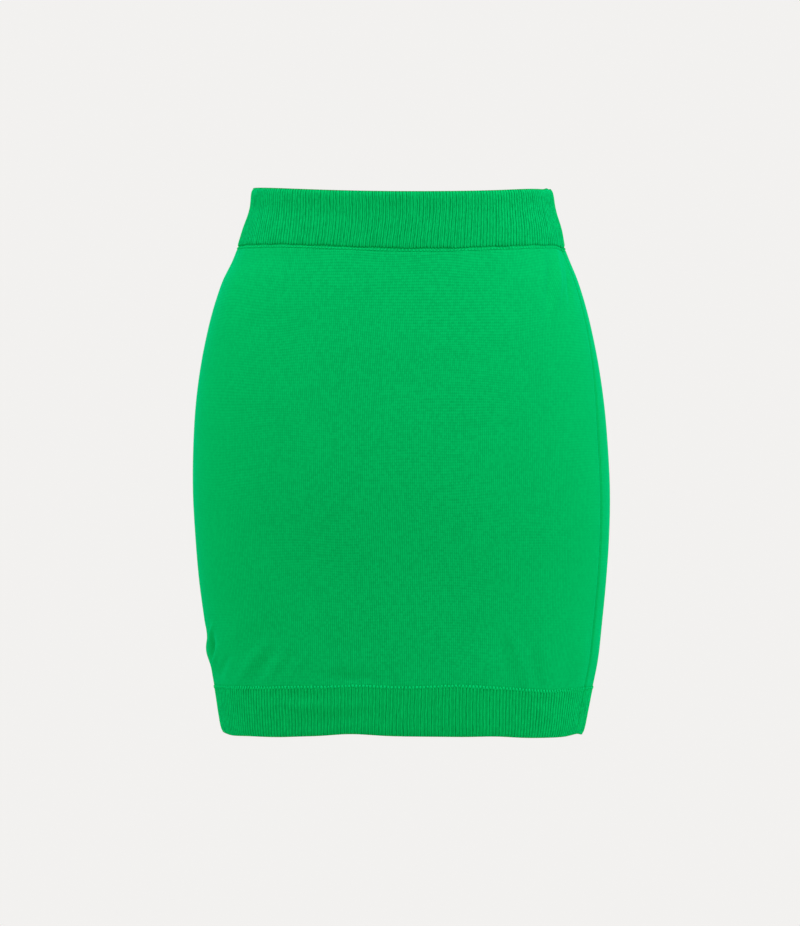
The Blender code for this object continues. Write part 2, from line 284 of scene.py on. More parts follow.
def crease_rise(angles, drops):
    """How far creases, puckers and the cloth's own slack move it outwards, in millimetres."""
    half_width, _, front_depth, _ = sections_at(drops)
    per_degree = np.radians(half_width + front_depth) / 2
    total = np.zeros_like(drops)
    for crease in CREASES:
        across = angle_between(angles, crease.angle) * per_degree
        up = crease.drop - drops
        turn = math.radians(crease.slant)
        along = across * math.cos(turn) + up * math.sin(turn)
        aside = up * math.cos(turn) - across * math.sin(turn)
        aside = aside - crease.bow * (along / crease.length) ** 2
        width = np.where(aside > 0, crease.width, crease.far_width)
        total += crease.rise * np.exp(-((along / crease.length) ** 2) - (aside / width) ** 2)
    below_seam = np.clip(drops - BAND_HEIGHT, 0.0, None)
    fading = bell(below_seam, PUCKER_LENGTH) * (drops > BAND_HEIGHT)
    for pucker in PUCKERS:
        across = angle_between(angles, pucker.angle) * per_degree
        total += pucker.rise * fading * bell(across, PUCKER_WIDTH)
    turns = np.radians(angles)
    slack = np.zeros_like(drops)
    for swell in SWELLS:
        slack += swell.height * np.sin(swell.waves * turns + drops / swell.fall + swell.start)
    return total + slack * smooth_step(drops, *SWELLS_BEGIN) * (1.0 - smooth_step(drops, *SWELLS_END))


def level_shift(angles, drops):
    """How far the cloth's level lines stand above an even height, in millimetres."""
    turns = np.radians(angles)
    facing = np.cos(turns) ** 2
    in_front = np.cos(turns) > 0
    hem_rise = np.where(in_front, FRONT_HEM_RISE, BACK_HEM_RISE)
    edge_dip = np.where(in_front, FRONT_WAIST_DIP, BACK_WAIST_DIP) * facing
    facing_dip = np.cos(turns - math.radians(SEAM_DIP_ANGLE))
    seam_dip = np.where(in_front, FRONT_SEAM_DIP * facing_dip**4, edge_dip)
    near_seam = smooth_step(drops, 0.0, BAND_HEIGHT)
    middle = SKIRT_LENGTH / 2
    near_waist = 1.0 - smooth_step(drops, BAND_HEIGHT, middle)
    near_edge = smooth_step(drops, HEM_LINE - HEM_HEIGHT, SKIRT_LENGTH)
    near_line = smooth_step(drops, middle, HEM_LINE) * (1.0 - smooth_step(drops, HEM_LINE, SKIRT_LENGTH))
    waves = sum(wave.lift * bell(angle_between(angles, wave.angle), wave.spread) for wave in HEM_WAVES)
    shift = -(edge_dip + (seam_dip - edge_dip) * near_seam) * near_waist
    shift = shift + (hem_rise * facing - HEM_TILT * np.sin(turns)) * near_line
    for place in LIFTS:
        aside = angle_between(angles, place.angle) / place.spread
        below = (drops - place.drop) / place.reach
        shift = shift + place.lift * np.exp(-(aside**2 + below**2))
    return shift + (waves - HEM_SAG * np.sin(2 * turns) ** 2) * near_edge


def cloth_points(angles, drops, out):
    """Points of the cloth in metres, moved out from the sections by a distance in millimetres."""
    angles, drops = np.asarray(angles, float), np.asarray(drops, float)
    half_width, lean, front_depth, back_depth = sections_at(drops)
    turns = np.radians(angles)
    depth = np.where(np.cos(turns) > 0, front_depth, back_depth)
    out_x = depth * np.sin(turns)
    out_y = -half_width * np.cos(turns)
    scale = (out + crease_rise(angles, drops)) / np.hypot(out_x, out_y)
    x = lean + half_width * np.sin(turns) + out_x * scale
    y = -depth * np.cos(turns) + out_y * scale
    z = ORIGIN_DROP - drops + level_shift(angles, drops)
    return np.stack([x, y, z], axis=-1) * MM


def right_seam_at(drop):
    """The angle of the right side seam, which near the waist stands nearer the outline than lower down."""
    return BACK.first_seam + RIGHT_SEAM_SWING * (1.0 - smooth_step(drop, *RIGHT_SEAM_SETTLES))


def arc_lengths(half, drop):
    """Angles from one seam of a half to the other, and the length of the arc up to each."""
    half_width, _, front_depth, back_depth = (float(size) for size in sections_at(drop))
    first, last = FRONT.first_seam, right_seam_at(drop)
    if half is BACK:
        first, last = last, first + 360.0
    angles = np.linspace(first, last, ARC_SAMPLES)
    turns = np.radians(angles)
    depths = np.where(np.cos(turns) > 0, front_depth, back_depth)
    steps = np.hypot(np.diff(half_width * np.sin(turns)), np.diff(-depths * np.cos(turns)))
    return angles, np.concatenate([[0.0], np.cumsum(steps)])


def eased(shares, stretch):
    """Shares of a band stretched from its rest width: most of the stretch is near its side seams."""
    from_middle = 2.0 * shares - 1.0
    return 0.5 + from_middle * (1.0 + (stretch - 1.0) * np.abs(from_middle) ** 3) / (2.0 * stretch)


def angles_at(half, drops, shares, rest_drop=None):
    """The angle of each place, from its drop and its share of the way between the seams along the arc, and
    how far it is from the nearer seam. With a rest drop, the knit keeps its width there in the middle and
    gives near the seams."""
    found = np.empty_like(drops)
    from_seam = np.empty_like(drops)
    for drop in np.unique(drops):
        there = drops == drop
        angles, lengths = arc_lengths(half, min(max(drop, 0.0), SKIRT_LENGTH))
        room = lengths[-1] - SEAM_GAP
        here = shares[there]
        if rest_drop is not None:
            here = eased(here, lengths[-1] / arc_lengths(half, rest_drop)[1][-1])
        places = SEAM_GAP / 2 + here * room
        found[there] = np.interp(places, lengths, angles)
        from_seam[there] = np.minimum(places, lengths[-1] - places)
    return found, from_seam


# ---------------- making pieces

# Where a sheet's rows or columns stand closer together, as shares of its length or width
Crowd = namedtuple("Crowd", "where spread strength")
FINE_SHARES = 2001


def grid_sheet(columns, rows):
    """A flat sheet of faces with a UV map, as a bmesh, and each corner's share across and down it."""
    sheet = bmesh.new()
    sheet.loops.layers.uv.new("knit")
    bmesh.ops.create_grid(sheet, x_segments=columns, y_segments=rows, size=1.0, calc_uvs=True)
    corners = np.array([corner.co for corner in sheet.verts])
    across = np.round((corners[:, 0] + 1.0) / 2.0 * columns) / columns
    down = np.round((1.0 - corners[:, 1]) / 2.0 * rows) / rows
    return sheet, across, down


def place_corners(sheet, points):
    for corner, point in zip(sheet.verts, points):
        corner.co = Vector(point)


def map_knit(sheet, across, along):
    """Puts each corner at its place on the UV map, the same in every face that meets there."""
    uv = sheet.loops.layers.uv.active
    for face in sheet.faces:
        for loop in face.loops:
            number = loop.vert.index
            loop[uv].uv = (across[number], along[number])


def face_outwards(sheet):
    """Turns every face of an open sheet away from the skirt's hollow."""
    bmesh.ops.recalc_face_normals(sheet, faces=sheet.faces)
    leaning = sum(face.normal.xy.dot(face.calc_center_median().xy) for face in sheet.faces)
    if leaning < 0:
        bmesh.ops.reverse_faces(sheet, faces=sheet.faces)


def new_object(name, data):
    thing = bpy.data.objects.new(name, data)
    bpy.context.scene.collection.objects.link(thing)
    return thing


def finish_piece(sheet, name, materials, replaced=None):
    """Turns a bmesh into a smooth shaded piece that rides on the part, with the given materials; the part
    it replaces is hidden.
    """
    data = bpy.data.meshes.new(name)
    sheet.to_mesh(data)
    sheet.free()
    data.shade_smooth()
    for material in materials:
        data.materials.append(material)
    piece = new_object(name, data)
    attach(piece, "root")
    if replaced:
        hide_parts(replaced)
    return piece


def add_wall(piece, thickness, inner_slots):
    """Gives a sheet its thickness, inwards, with its reverse side in the next material."""
    wall = piece.modifiers.new("wall", "SOLIDIFY")
    wall.thickness = thickness * MM
    wall.offset = -1.0
    wall.use_even_offset = True
    wall.material_offset = inner_slots


def crowded(count, crowds):
    """Shares from 0 to 1 in steps that are finer where the crowds are."""
    fine = np.linspace(0.0, 1.0, FINE_SHARES)
    density = np.ones_like(fine)
    for crowd in crowds:
        density += crowd.strength * bell(fine - crowd.where, crowd.spread)
    total = np.concatenate([[0.0], np.cumsum((density[1:] + density[:-1]) / 2)])
    return np.interp(np.linspace(0.0, total[-1], count + 1), total, fine)


# ---------------- body panels

BODY_COLUMNS = 230
BODY_ROWS = 176
# closer columns at both side seams and at the pucker, closer rows below the waistband and above the hem
CROWDED_COLUMNS = (Crowd(0.0, 0.012, 2.5), Crowd(0.14, 0.06, 1.5), Crowd(1.0, 0.012, 2.5))
CROWDED_ROWS = (Crowd(0.012, 0.014, 3.2), Crowd(0.93, 0.10, 0.9))
WIDTH_SAMPLES = 60

TOP_TUCK = 3.0
LINE_TUCK = 2.0
SEAM_GROOVE = 1.3
SEAM_GROOVE_WIDTH = 1.6
TUCK_DEPTH = 0.45
TUCK_START = 0.6
TUCK_REACH = 2.6
LINK_DROP = BAND_HEIGHT + 2.2
LINK_GROOVE = 0.4
LINK_GROOVE_BELOW = 0.9
LINK_GROOVE_WIDTH = 0.6
LINE_DIP = 0.30
LINE_DIP_ABOVE = 0.8
LINE_DIP_BELOW = 0.4


def panel_widths(half):
    """Drops down a panel and its width at each, between its side seams."""
    drops = np.linspace(BAND_HEIGHT, HEM_LINE, WIDTH_SAMPLES)
    return drops, np.array([arc_lengths(half, drop)[1][-1] for drop in drops])


def wales_at(half, drops, shares):
    """Each place's share across the knit. In the middle of a narrower row its wales keep their width."""
    widths = np.interp(drops, *panel_widths(half))
    from_middle = 2.0 * shares - 1.0
    stretch = widths / widths.max()
    return 0.5 + from_middle * stretch * (1.0 + (1.0 / stretch - 1.0) * np.abs(from_middle) ** 3) / 2.0


def make_body(half, jersey, reverse):
    """A jersey panel. Its top goes up inside the waistband and its lower edge lies inside the hem's top."""
    sheet, across, down = grid_sheet(BODY_COLUMNS, BODY_ROWS)
    columns = crowded(BODY_COLUMNS, CROWDED_COLUMNS)
    rows = crowded(BODY_ROWS, CROWDED_ROWS)
    shares = columns[np.rint(across * BODY_COLUMNS).astype(int)]
    top, bottom = BAND_HEIGHT - TOP_TUCK, HEM_LINE + LINE_TUCK
    drops = top + rows[np.rint(down * BODY_ROWS).astype(int)] * (bottom - top)
    angles, from_seam = angles_at(half, drops, shares)
    out = -SEAM_GROOVE * bell(from_seam, SEAM_GROOVE_WIDTH)
    out -= TUCK_DEPTH * (1.0 - smooth_step(drops, BAND_HEIGHT + TUCK_START, BAND_HEIGHT + TUCK_REACH))
    out -= LINK_GROOVE * bell(drops - LINK_DROP - LINK_GROOVE_BELOW, LINK_GROOVE_WIDTH)
    out -= LINE_DIP * smooth_step(drops, HEM_LINE - LINE_DIP_ABOVE, HEM_LINE + LINE_DIP_BELOW)
    place_corners(sheet, cloth_points(angles, drops, out))
    map_knit(sheet, wales_at(half, drops, shares), (bottom - drops) / (bottom - top))
    face_outwards(sheet)
    name = half.name + "_panel"
    panel = finish_piece(sheet, name + "_cloth", (jersey, reverse), name)
    add_wall(panel, BODY_WALL, 1)
    return panel


# ---------------- rib bands

COLUMNS_PER_RIB = 8
RIB_ROUNDNESS = 0.65
BAND_FACE_ROWS = 18
HEM_FACE_ROWS = 14
INSIDE_ROWS = 8
EDGE_ROWS = 8
FOLD_HEIGHT = 3.6
EDGE_HEIGHT = 2.4
MERGE_DISTANCE = 1e-6

# Distances out above this one are on a band's face, the others on its inside
BETWEEN_FACES = -0.8

# Ribs stray to both sides by a share of a rib, as a slow lean and as a quick zigzag: how far, over which
# drop and how often round the band
Stray = namedtuple("Stray", "rib_share drop turns")
BAND_LEAN = Stray(0.12, 9.0, 11.0)
BAND_ZIGZAG = Stray(0.04, 2.0, 97.0)

BAND_GROOVE = 0.7
BAND_GROOVE_WIDTH = 1.1
BAND_GROOVE_BEGINS = (1.0, 8.0)
SHOULDER = 0.9
SHOULDER_DROP = 8.0
SEAM_JAG = 0.8
SEAM_DRIFT = 0.4
SEAM_DRIFT_TURNS = (83.0, 29.0)
SEAM_DRIFT_REACH = 0.9


def rib_crest(shares, ribs):
    """1 on the crest of a rib and 0 in the groove beside it."""
    return np.abs(np.sin(math.pi * ribs * shares)) ** RIB_ROUNDNESS


def straight(first, last, steps):
    """Points from one to just before the other: a drop, a distance out and a share of the rib relief."""
    first, last = np.array(first), np.array(last)
    return [tuple(first + (last - first) * step / steps) for step in range(steps)]


def rolled(drop, out, height, width, steps, relief):
    """A half round turn of the cloth, from its outer face over the edge to its inner one."""
    turns = [math.pi * step / steps for step in range(steps)]
    return [(drop + height * math.sin(turn), out + width * math.cos(turn), relief) for turn in turns]


def band_profile():
    """Round the folded waistband: up its face from the seam, over the fold and down its inside."""
    face, inside = BAND_PROUD, BAND_PROUD - BAND_WALL
    middle, fold, low = (face + inside) / 2, FOLD_HEIGHT, BAND_HEIGHT
    profile = [(low, -0.3, 0.3), (low + 0.1, 0.05, 0.6), (low - 0.6, face - 0.25, 0.9)]
    profile += straight((low - 1.6, face, 1.0), (fold, face, 1.0), BAND_FACE_ROWS)
    profile += rolled(fold, middle, -fold, BAND_WALL / 2, EDGE_ROWS, 0.75)
    profile += straight((fold, inside, 1.0), (low - 1.0, inside, 1.0), INSIDE_ROWS)
    profile += [(low - 1.0, inside, 1.0), (low - 0.2, inside + 0.1, 0.6), (low, inside + 0.5, 0.3)]
    return profile


def hem_profile():
    """Round the hem: down its face from the top line, round the lower edge and up its inside."""
    face, inside = HEM_PROUD, HEM_PROUD - HEM_WALL
    middle, edge, high = (face + inside) / 2, SKIRT_LENGTH - EDGE_HEIGHT, HEM_LINE
    profile = [(high - 0.3, -0.3, 0.2), (high + 0.3, -0.1, 0.6), (high + 1.0, face - 0.12, 1.0)]
    profile += straight((high + 1.6, face, 1.0), (edge, face, 1.0), HEM_FACE_ROWS)
    profile += rolled(edge, middle, EDGE_HEIGHT, HEM_WALL / 2, EDGE_ROWS, 0.8)
    profile += straight((edge, inside, 1.0), (high + 1.0, inside, 1.0), INSIDE_ROWS)
    profile += [(high + 1.0, inside, 1.0), (high + 0.3, inside + 0.15, 0.6), (high, inside + 0.6, 0.3)]
    return profile


def strayed(stray, across, drops):
    return stray.rib_share * np.sin(drops / stray.drop + stray.turns * across)


def make_band(kind, half, profile, ribs, material):
    """Half of a rib band whose cross-section is the closed profile, with every rib raised on both faces."""
    closed = np.array(profile + [profile[0]])
    columns, rows = COLUMNS_PER_RIB * ribs, len(closed) - 1
    sheet, across, down = grid_sheet(columns, rows)
    place = np.rint(down * rows).astype(int)
    drops, out, relief = closed[place, 0], closed[place, 1], closed[place, 2]
    wander = strayed(BAND_LEAN, across, drops) + strayed(BAND_ZIGZAG, across, drops)
    shares = np.clip(across + wander * np.sin(math.pi * across) / ribs, 0.0, 1.0)
    angles, from_seam = angles_at(half, drops, shares, np.median(closed[:, 0]))
    raised = RIB_RELIEF * relief * (rib_crest(across, ribs) - 1.0)
    out = out + raised * np.where(out > BETWEEN_FACES, 1.0, -1.0)
    groove = BAND_GROOVE * bell(from_seam, BAND_GROOVE_WIDTH) * smooth_step(drops, *BAND_GROOVE_BEGINS)
    out -= groove * (out > BETWEEN_FACES)
    near_top = np.clip(1.0 - drops / SHOULDER_DROP, 0.0, 1.0)
    near_edge = np.clip(1.0 - (SKIRT_LENGTH - drops) / SHOULDER_DROP, 0.0, 1.0)
    out -= SHOULDER * (near_top**2 + near_edge**2) * (out > BETWEEN_FACES)
    jags = SEAM_JAG * (rib_crest(across, ribs) - 0.5)
    drift = SEAM_DRIFT * np.sin(SEAM_DRIFT_TURNS[0] * across) * np.sin(SEAM_DRIFT_TURNS[1] * across)
    drops = drops + (jags + drift) * bell(drops - BAND_HEIGHT, SEAM_DRIFT_REACH)
    place_corners(sheet, cloth_points(angles, drops, out))
    lengths = np.concatenate([[0.0], np.cumsum(np.hypot(np.diff(closed[:, 0]), np.diff(closed[:, 1])))])
    map_knit(sheet, across * ribs, lengths[place] / CENTIMETRE)
    bmesh.ops.remove_doubles(sheet, verts=sheet.verts, dist=MERGE_DISTANCE)
    ends = [edge for edge in sheet.edges if edge.is_boundary]
    bmesh.ops.holes_fill(sheet, edges=ends, sides=0)
    bmesh.ops.recalc_face_normals(sheet, faces=sheet.faces)
    name = kind + "_" + half.name
    return finish_piece(sheet, name + "_cloth", (material,), name)


# ---------------- sewing

Bead = namedtuple("Bead", "half_length half_width half_height")
LINK_BEAD = Bead(1.2, 0.34, 0.30)
LINK_SLANT = 24.0
LINK_APART = 0.22
LOOP_BEAD = Bead(1.3, 0.95, 0.45)
LOOP_DROP = HEM_LINE + 0.1
LOOP_SLANT = 90.0
LOOP_OUT = 0.3
LOOP_SIZES = (0.85, 1.1)

# Hand-made unevenness: how far the drop and the slant of a link or loop vary, both ways
Unevenness = namedtuple("Unevenness", "drop slant")
LINKS_VARY = Unevenness(0.12, 6.0)
LOOPS_VARY = Unevenness(0.14, 8.0)


def surface_frame(angle, drop, out):
    """A place on the cloth and the directions across, up and out there, as a matrix."""
    step = 0.4
    angles = np.array([angle, angle + step, angle])
    drops = np.array([drop, drop, drop - step])
    here, across, up = (Vector(point) for point in cloth_points(angles, drops, np.full(3, out)))
    across = (across - here).normalized()
    up = (up - here).normalized()
    outwards = across.cross(up).normalized() * -1.0
    if outwards.dot(Vector((here.x, here.y, 0.0))) < 0:
        outwards.negate()
    up = outwards.cross(across).normalized()
    turn = Matrix((across, up, outwards)).transposed().to_4x4()
    return Matrix.Translation(here) @ turn


def add_bead(thread, there, slant, bead):
    """One short stretch of yarn as a stretched ball, lying along the cloth at a slant."""
    turn = Matrix.Rotation(math.radians(slant), 4, "Z")
    size = Matrix.Diagonal((bead.half_length * MM, bead.half_width * MM, bead.half_height * MM, 1.0))
    bmesh.ops.create_uvsphere(thread, u_segments=8, v_segments=4, radius=1.0, matrix=there @ turn @ size)


def finish_thread(thread, name, material):
    bmesh.ops.recalc_face_normals(thread, faces=thread.faces)
    return finish_piece(thread, name, (material,))


def angles_along(half, count, drop):
    """The angles of the middles of even steps from one seam of a half to the other."""
    angles, _ = angles_at(half, np.full(count, drop), (np.arange(count) + 0.5) / count)
    return angles


def make_linking(half, material):
    """The chain of stitches that links the waistband to a panel, one link to a rib."""
    thread = bmesh.new()
    draw = random.Random(11)
    for angle in angles_along(half, BAND_RIBS // 2, LINK_DROP):
        there = surface_frame(angle, LINK_DROP + draw.uniform(-LINKS_VARY.drop, LINKS_VARY.drop), 0.0)
        slant = LINK_SLANT + draw.uniform(-LINKS_VARY.slant, LINKS_VARY.slant)
        for side in (1, -1):
            aside = Matrix.Translation((0, side * LINK_APART * MM, 0))
            add_bead(thread, there @ aside, -side * slant, LINK_BEAD)
    return finish_thread(thread, "waist_linking_" + half.name, material)


def make_line_loops(half, material):
    """The loops where the jersey is passed over to rib, one on the head of each rib."""
    thread = bmesh.new()
    draw = random.Random(23)
    for angle in angles_along(half, HEM_RIBS // 2, LOOP_DROP):
        drop = LOOP_DROP + draw.uniform(-LOOPS_VARY.drop, LOOPS_VARY.drop)
        size = draw.uniform(*LOOP_SIZES)
        slant = LOOP_SLANT + draw.uniform(-LOOPS_VARY.slant, LOOPS_VARY.slant)
        bead = Bead(LOOP_BEAD.half_length * size, LOOP_BEAD.half_width * size, LOOP_BEAD.half_height)
        add_bead(thread, surface_frame(angle, drop, LOOP_OUT), slant, bead)
    return finish_thread(thread, "hem_line_loops_" + half.name, material)


ALLOWANCE_COLUMNS = 6
ALLOWANCE_ROWS = 200
ALLOWANCE_TOP = BAND_HEIGHT + 0.5
ALLOWANCE_BOTTOM = SKIRT_LENGTH - 3.0
ALLOWANCE_WIDTH = 7.0
ALLOWANCE_WALL = 0.55
ALLOWANCE_GAP = 0.05
ALLOWANCE_ROUNDING = 0.35
ALLOWANCE_RIPPLE = 0.05
RIPPLE_LENGTH = 1.3
HEM_STEP = 2.0


def make_allowance(name, seam_angle, material):
    """The overlocked edges of a side seam, pressed flat on the inside from waistband to hem."""
    sheet, across, down = grid_sheet(ALLOWANCE_COLUMNS, ALLOWANCE_ROWS)
    drops = ALLOWANCE_TOP + down * (ALLOWANCE_BOTTOM - ALLOWANCE_TOP)
    half_width, _, front_depth, _ = sections_at(drops)
    turn = math.radians(seam_angle)
    per_degree = np.radians(np.hypot(half_width * math.cos(turn), front_depth * math.sin(turn)))
    width = ALLOWANCE_WIDTH * (1.0 + ALLOWANCE_RIPPLE * np.sin(drops / RIPPLE_LENGTH))
    if seam_angle == BACK.first_seam:
        seam_angle = right_seam_at(drops)
    angles = seam_angle + (across - 0.5) * width / per_degree
    in_hem = smooth_step(drops, HEM_LINE - HEM_STEP, HEM_LINE + HEM_STEP)
    rounded = ALLOWANCE_ROUNDING * (1.0 - (2.0 * across - 1.0) ** 2)
    step_in = HEM_WALL - HEM_PROUD - BODY_WALL + ALLOWANCE_GAP
    out = -(BODY_WALL + ALLOWANCE_GAP) - in_hem * step_in - rounded
    place_corners(sheet, cloth_points(angles, drops, out))
    map_knit(sheet, across * ALLOWANCE_WIDTH / CENTIMETRE, drops / CENTIMETRE)
    face_outwards(sheet)
    strip = finish_piece(sheet, name, (material,))
    add_wall(strip, ALLOWANCE_WALL, 0)
    return strip


# ---------------- finishes

# The dark colours mix in where a stitch's crest is low: painted shade in the grooves of the knit, and in
# part the random tone of single stitches.
YARN_GREEN = (0.0010, 0.440, 0.098, 1.0)
YARN_SHADE = (0.0006, 0.330, 0.066, 1.0)
JERSEY_LIGHT = (0.0011, 0.520, 0.121, 1.0)
JERSEY_DARK = (0.0008, 0.325, 0.073, 1.0)
WAIST_LIGHT = (0.0011, 0.510, 0.117, 1.0)
# The hem's light colour is paler than the waistband's, though both are the same yarn: painted light.
HEM_LIGHT = (0.0011, 0.535, 0.117, 1.0)
RIB_DARK = (0.0007, 0.260, 0.052, 1.0)
# A painted highlight: the linking chain and the hem's loops are the knit's yarn, coloured paler so that
# they show as light lines.
STITCH_HIGHLIGHT = (0.0014, 0.610, 0.152, 1.0)
SHEEN_GREEN = (0.002, 1.0, 0.55, 1.0)
SHEEN_ROUGHNESS = 0.33
YARN_ROUGHNESS = 0.76
ROUGHNESS_CHANGE = 0.12

# The knit's light and shade
HALF_WIDTH = 155.0
MIDDLE_SHADE = 0.62
YARN_FLOOR = 0.4
YARN_RISE = 0.6
JERSEY_SLANT = -0.7
ROWS_SWAY = 4.5
PATCH_RANGE = (0.38, 0.62)
LEVEL_SHARES = (-0.06, 0.32)
LEVEL_SHARE_UPWARDS = 0.33
RIB_COURSES = 6.0
RIB_SLANT = -2.0
RIB_WOBBLE = 0.5
RIB_STITCH_FLOOR = 0.74
RIB_STITCH_RISE = 0.4
LINES_PER_RIB = 1.6
LINES_SIDE_CHANGE = -1.0


def add_node(tree, kind, **settings):
    node = tree.nodes.new(kind)
    for setting, value in settings.items():
        setattr(node, setting, value)
    return node


def sums(tree, operation, first, second=None):
    """One step of arithmetic. Each term is a number or a socket."""
    node = add_node(tree, "ShaderNodeMath", operation=operation)
    for place, term in enumerate((first, second)):
        if term is None:
            continue
        if isinstance(term, (int, float)):
            node.inputs[place].default_value = term
        else:
            tree.links.new(term, node.inputs[place])
    return node.outputs[0]


def plus(tree, first, second):
    return sums(tree, "ADD", first, second)


def minus(tree, first, second):
    return sums(tree, "SUBTRACT", first, second)


def times(tree, first, second):
    return sums(tree, "MULTIPLY", first, second)


def noise(tree, place, scale, detail):
    """Soft noise at a place, round 0.5."""
    node = add_node(tree, "ShaderNodeTexNoise")
    node.inputs["Scale"].default_value = scale
    node.inputs["Detail"].default_value = detail
    tree.links.new(place, node.inputs["Vector"])
    return node.outputs[0]


def new_group(name, inputs, outputs):
    """A node group with named sockets. An input is a name, a kind and its usual value."""
    group = bpy.data.node_groups.new(name, "ShaderNodeTree")
    for label, kind, usual in inputs:
        socket = group.interface.new_socket(label, in_out="INPUT", socket_type="NodeSocket" + kind)
        if usual is not None:
            socket.default_value = usual
    for label, kind in outputs:
        group.interface.new_socket(label, in_out="OUTPUT", socket_type="NodeSocket" + kind)
    return group, group.nodes.new("NodeGroupInput"), group.nodes.new("NodeGroupOutput")


def stitch_chance(group, across, along):
    """A number from -0.5 to 0.5 that differs from one stitch to the next."""
    corner = add_node(group, "ShaderNodeCombineXYZ")
    group.links.new(sums(group, "FLOOR", across), corner.inputs[0])
    group.links.new(sums(group, "FLOOR", along), corner.inputs[1])
    chance = add_node(group, "ShaderNodeTexWhiteNoise", noise_dimensions="2D")
    group.links.new(corner.outputs[0], chance.inputs["Vector"])
    return minus(group, chance.outputs["Value"], 0.5)


def over_wale(group, across):
    """How far a place is from the middle of its wale or rib, and the round hump of the wale there."""
    place = sums(group, "FRACT", across)
    from_middle = sums(group, "ABSOLUTE", minus(group, place, 0.5))
    return from_middle, sums(group, "SINE", times(group, place, math.pi))


def stitch_ridge(group, along, from_middle, slant):
    """1 on the yarn of a stitch and 0 between two, in rows that slant to both sides of a wale's middle."""
    slope = plus(group, along, times(group, from_middle, slant))
    return sums(group, "ABSOLUTE", sums(group, "SINE", times(group, slope, math.pi)))


def yarn_height(group, hump, ridge):
    return times(group, hump, plus(group, times(group, ridge, YARN_RISE), YARN_FLOOR))


def towards_sides(group, shade, position, change):
    """Light and shade that grow towards the skirt's sides, or shrink where the change is below zero."""
    parts = add_node(group, "ShaderNodeSeparateXYZ")
    group.links.new(position, parts.inputs[0])
    across = sums(group, "ABSOLUTE", sums(group, "DIVIDE", parts.outputs[0], HALF_WIDTH * MM))
    aside = sums(group, "MINIMUM", across, 1.0)
    growth = plus(group, times(group, sums(group, "POWER", aside, 2.0), change), 1.0)
    return plus(group, times(group, minus(group, shade, MIDDLE_SHADE), growth), MIDDLE_SHADE)


def jersey_group():
    """Rows of V shaped stitches on the UV map: how high the yarn stands, and its light and shade. In some
    patches the upright wales show more, in others the level courses."""
    group, given, result = new_group(
        "jersey_stitches",
        (
            ("UV", "Vector", None),
            ("Position", "Vector", None),
            ("Wales", "Float", WALES / 2),
            ("Courses", "Float", COURSES),
            ("Chance", "Float", 0.38),
            ("Side Change", "Float", -0.55),
        ),
        (("Height", "Float"), ("Shade", "Float")),
    )
    uv, position = given.outputs["UV"], given.outputs["Position"]
    split = add_node(group, "ShaderNodeSeparateXYZ")
    group.links.new(uv, split.inputs[0])
    wale = times(group, split.outputs[0], given.outputs["Wales"])
    course = times(group, split.outputs[1], given.outputs["Courses"])
    from_middle, hump = over_wale(group, wale)
    sway = noise(group, uv, scale=7.0, detail=0.0)
    bent = plus(group, course, times(group, sway, ROWS_SWAY))
    ridge = stitch_ridge(group, bent, from_middle, JERSEY_SLANT)
    level = add_node(group, "ShaderNodeMapRange", clamp=True)
    for end, value in zip(("From Min", "From Max", "To Min", "To Max"), PATCH_RANGE + LEVEL_SHARES):
        level.inputs[end].default_value = value
    group.links.new(noise(group, uv, scale=5.0, detail=2.0), level.inputs["Value"])
    banding = plus(group, level.outputs[0], times(group, split.outputs[1], LEVEL_SHARE_UPWARDS))
    even = times(group, hump, minus(group, 1.0, banding))
    banded = plus(group, even, times(group, ridge, banding))
    chance = stitch_chance(group, wale, course)
    uneven = plus(group, banded, times(group, chance, given.outputs["Chance"]))
    shade = towards_sides(group, uneven, position, given.outputs["Side Change"])
    group.links.new(yarn_height(group, hump, ridge), result.inputs["Height"])
    group.links.new(shade, result.inputs["Shade"])
    return group


def rib_group():
    """Stitches on the crest of each rib, painted shade in the groove beside it, and fine lines along it
    that fade towards the skirt's sides, from a UV map that counts ribs."""
    group, given, result = new_group(
        "rib_stitches",
        (
            ("UV", "Vector", None),
            ("Position", "Vector", None),
            ("Courses", "Float", RIB_COURSES),
            ("Chance", "Float", 0.42),
            ("Contrast", "Float", 1.0),
            ("Fine Lines", "Float", 0.9),
            ("Side Change", "Float", 2.3),
        ),
        (("Height", "Float"), ("Shade", "Float")),
    )
    uv, position = given.outputs["UV"], given.outputs["Position"]
    split = add_node(group, "ShaderNodeSeparateXYZ")
    group.links.new(uv, split.inputs[0])
    wobble = minus(group, noise(group, uv, scale=1.7, detail=1.0), 0.5)
    rib = plus(group, split.outputs[0], times(group, wobble, RIB_WOBBLE))
    from_middle, crest = over_wale(group, rib)
    course = times(group, split.outputs[1], given.outputs["Courses"])
    ridge = stitch_ridge(group, course, from_middle, RIB_SLANT)
    stitch = plus(group, times(group, ridge, RIB_STITCH_RISE), RIB_STITCH_FLOOR)
    sharp = times(group, crest, stitch)
    chance = times(group, stitch_chance(group, rib, course), sharp)
    uneven = plus(group, sharp, times(group, chance, given.outputs["Chance"]))
    centred = times(group, minus(group, uneven, MIDDLE_SHADE), given.outputs["Contrast"])
    even = plus(group, centred, MIDDLE_SHADE)
    ribbed = towards_sides(group, even, position, given.outputs["Side Change"])
    line = sums(group, "SINE", times(group, rib, LINES_PER_RIB * 2.0 * math.pi))
    depth = times(group, given.outputs["Contrast"], given.outputs["Fine Lines"])
    lined = plus(group, times(group, line, depth), MIDDLE_SHADE)
    fading = towards_sides(group, lined, position, LINES_SIDE_CHANGE)
    shade = plus(group, ribbed, minus(group, fading, MIDDLE_SHADE))
    group.links.new(yarn_height(group, crest, ridge), result.inputs["Height"])
    group.links.new(shade, result.inputs["Shade"])
    return group


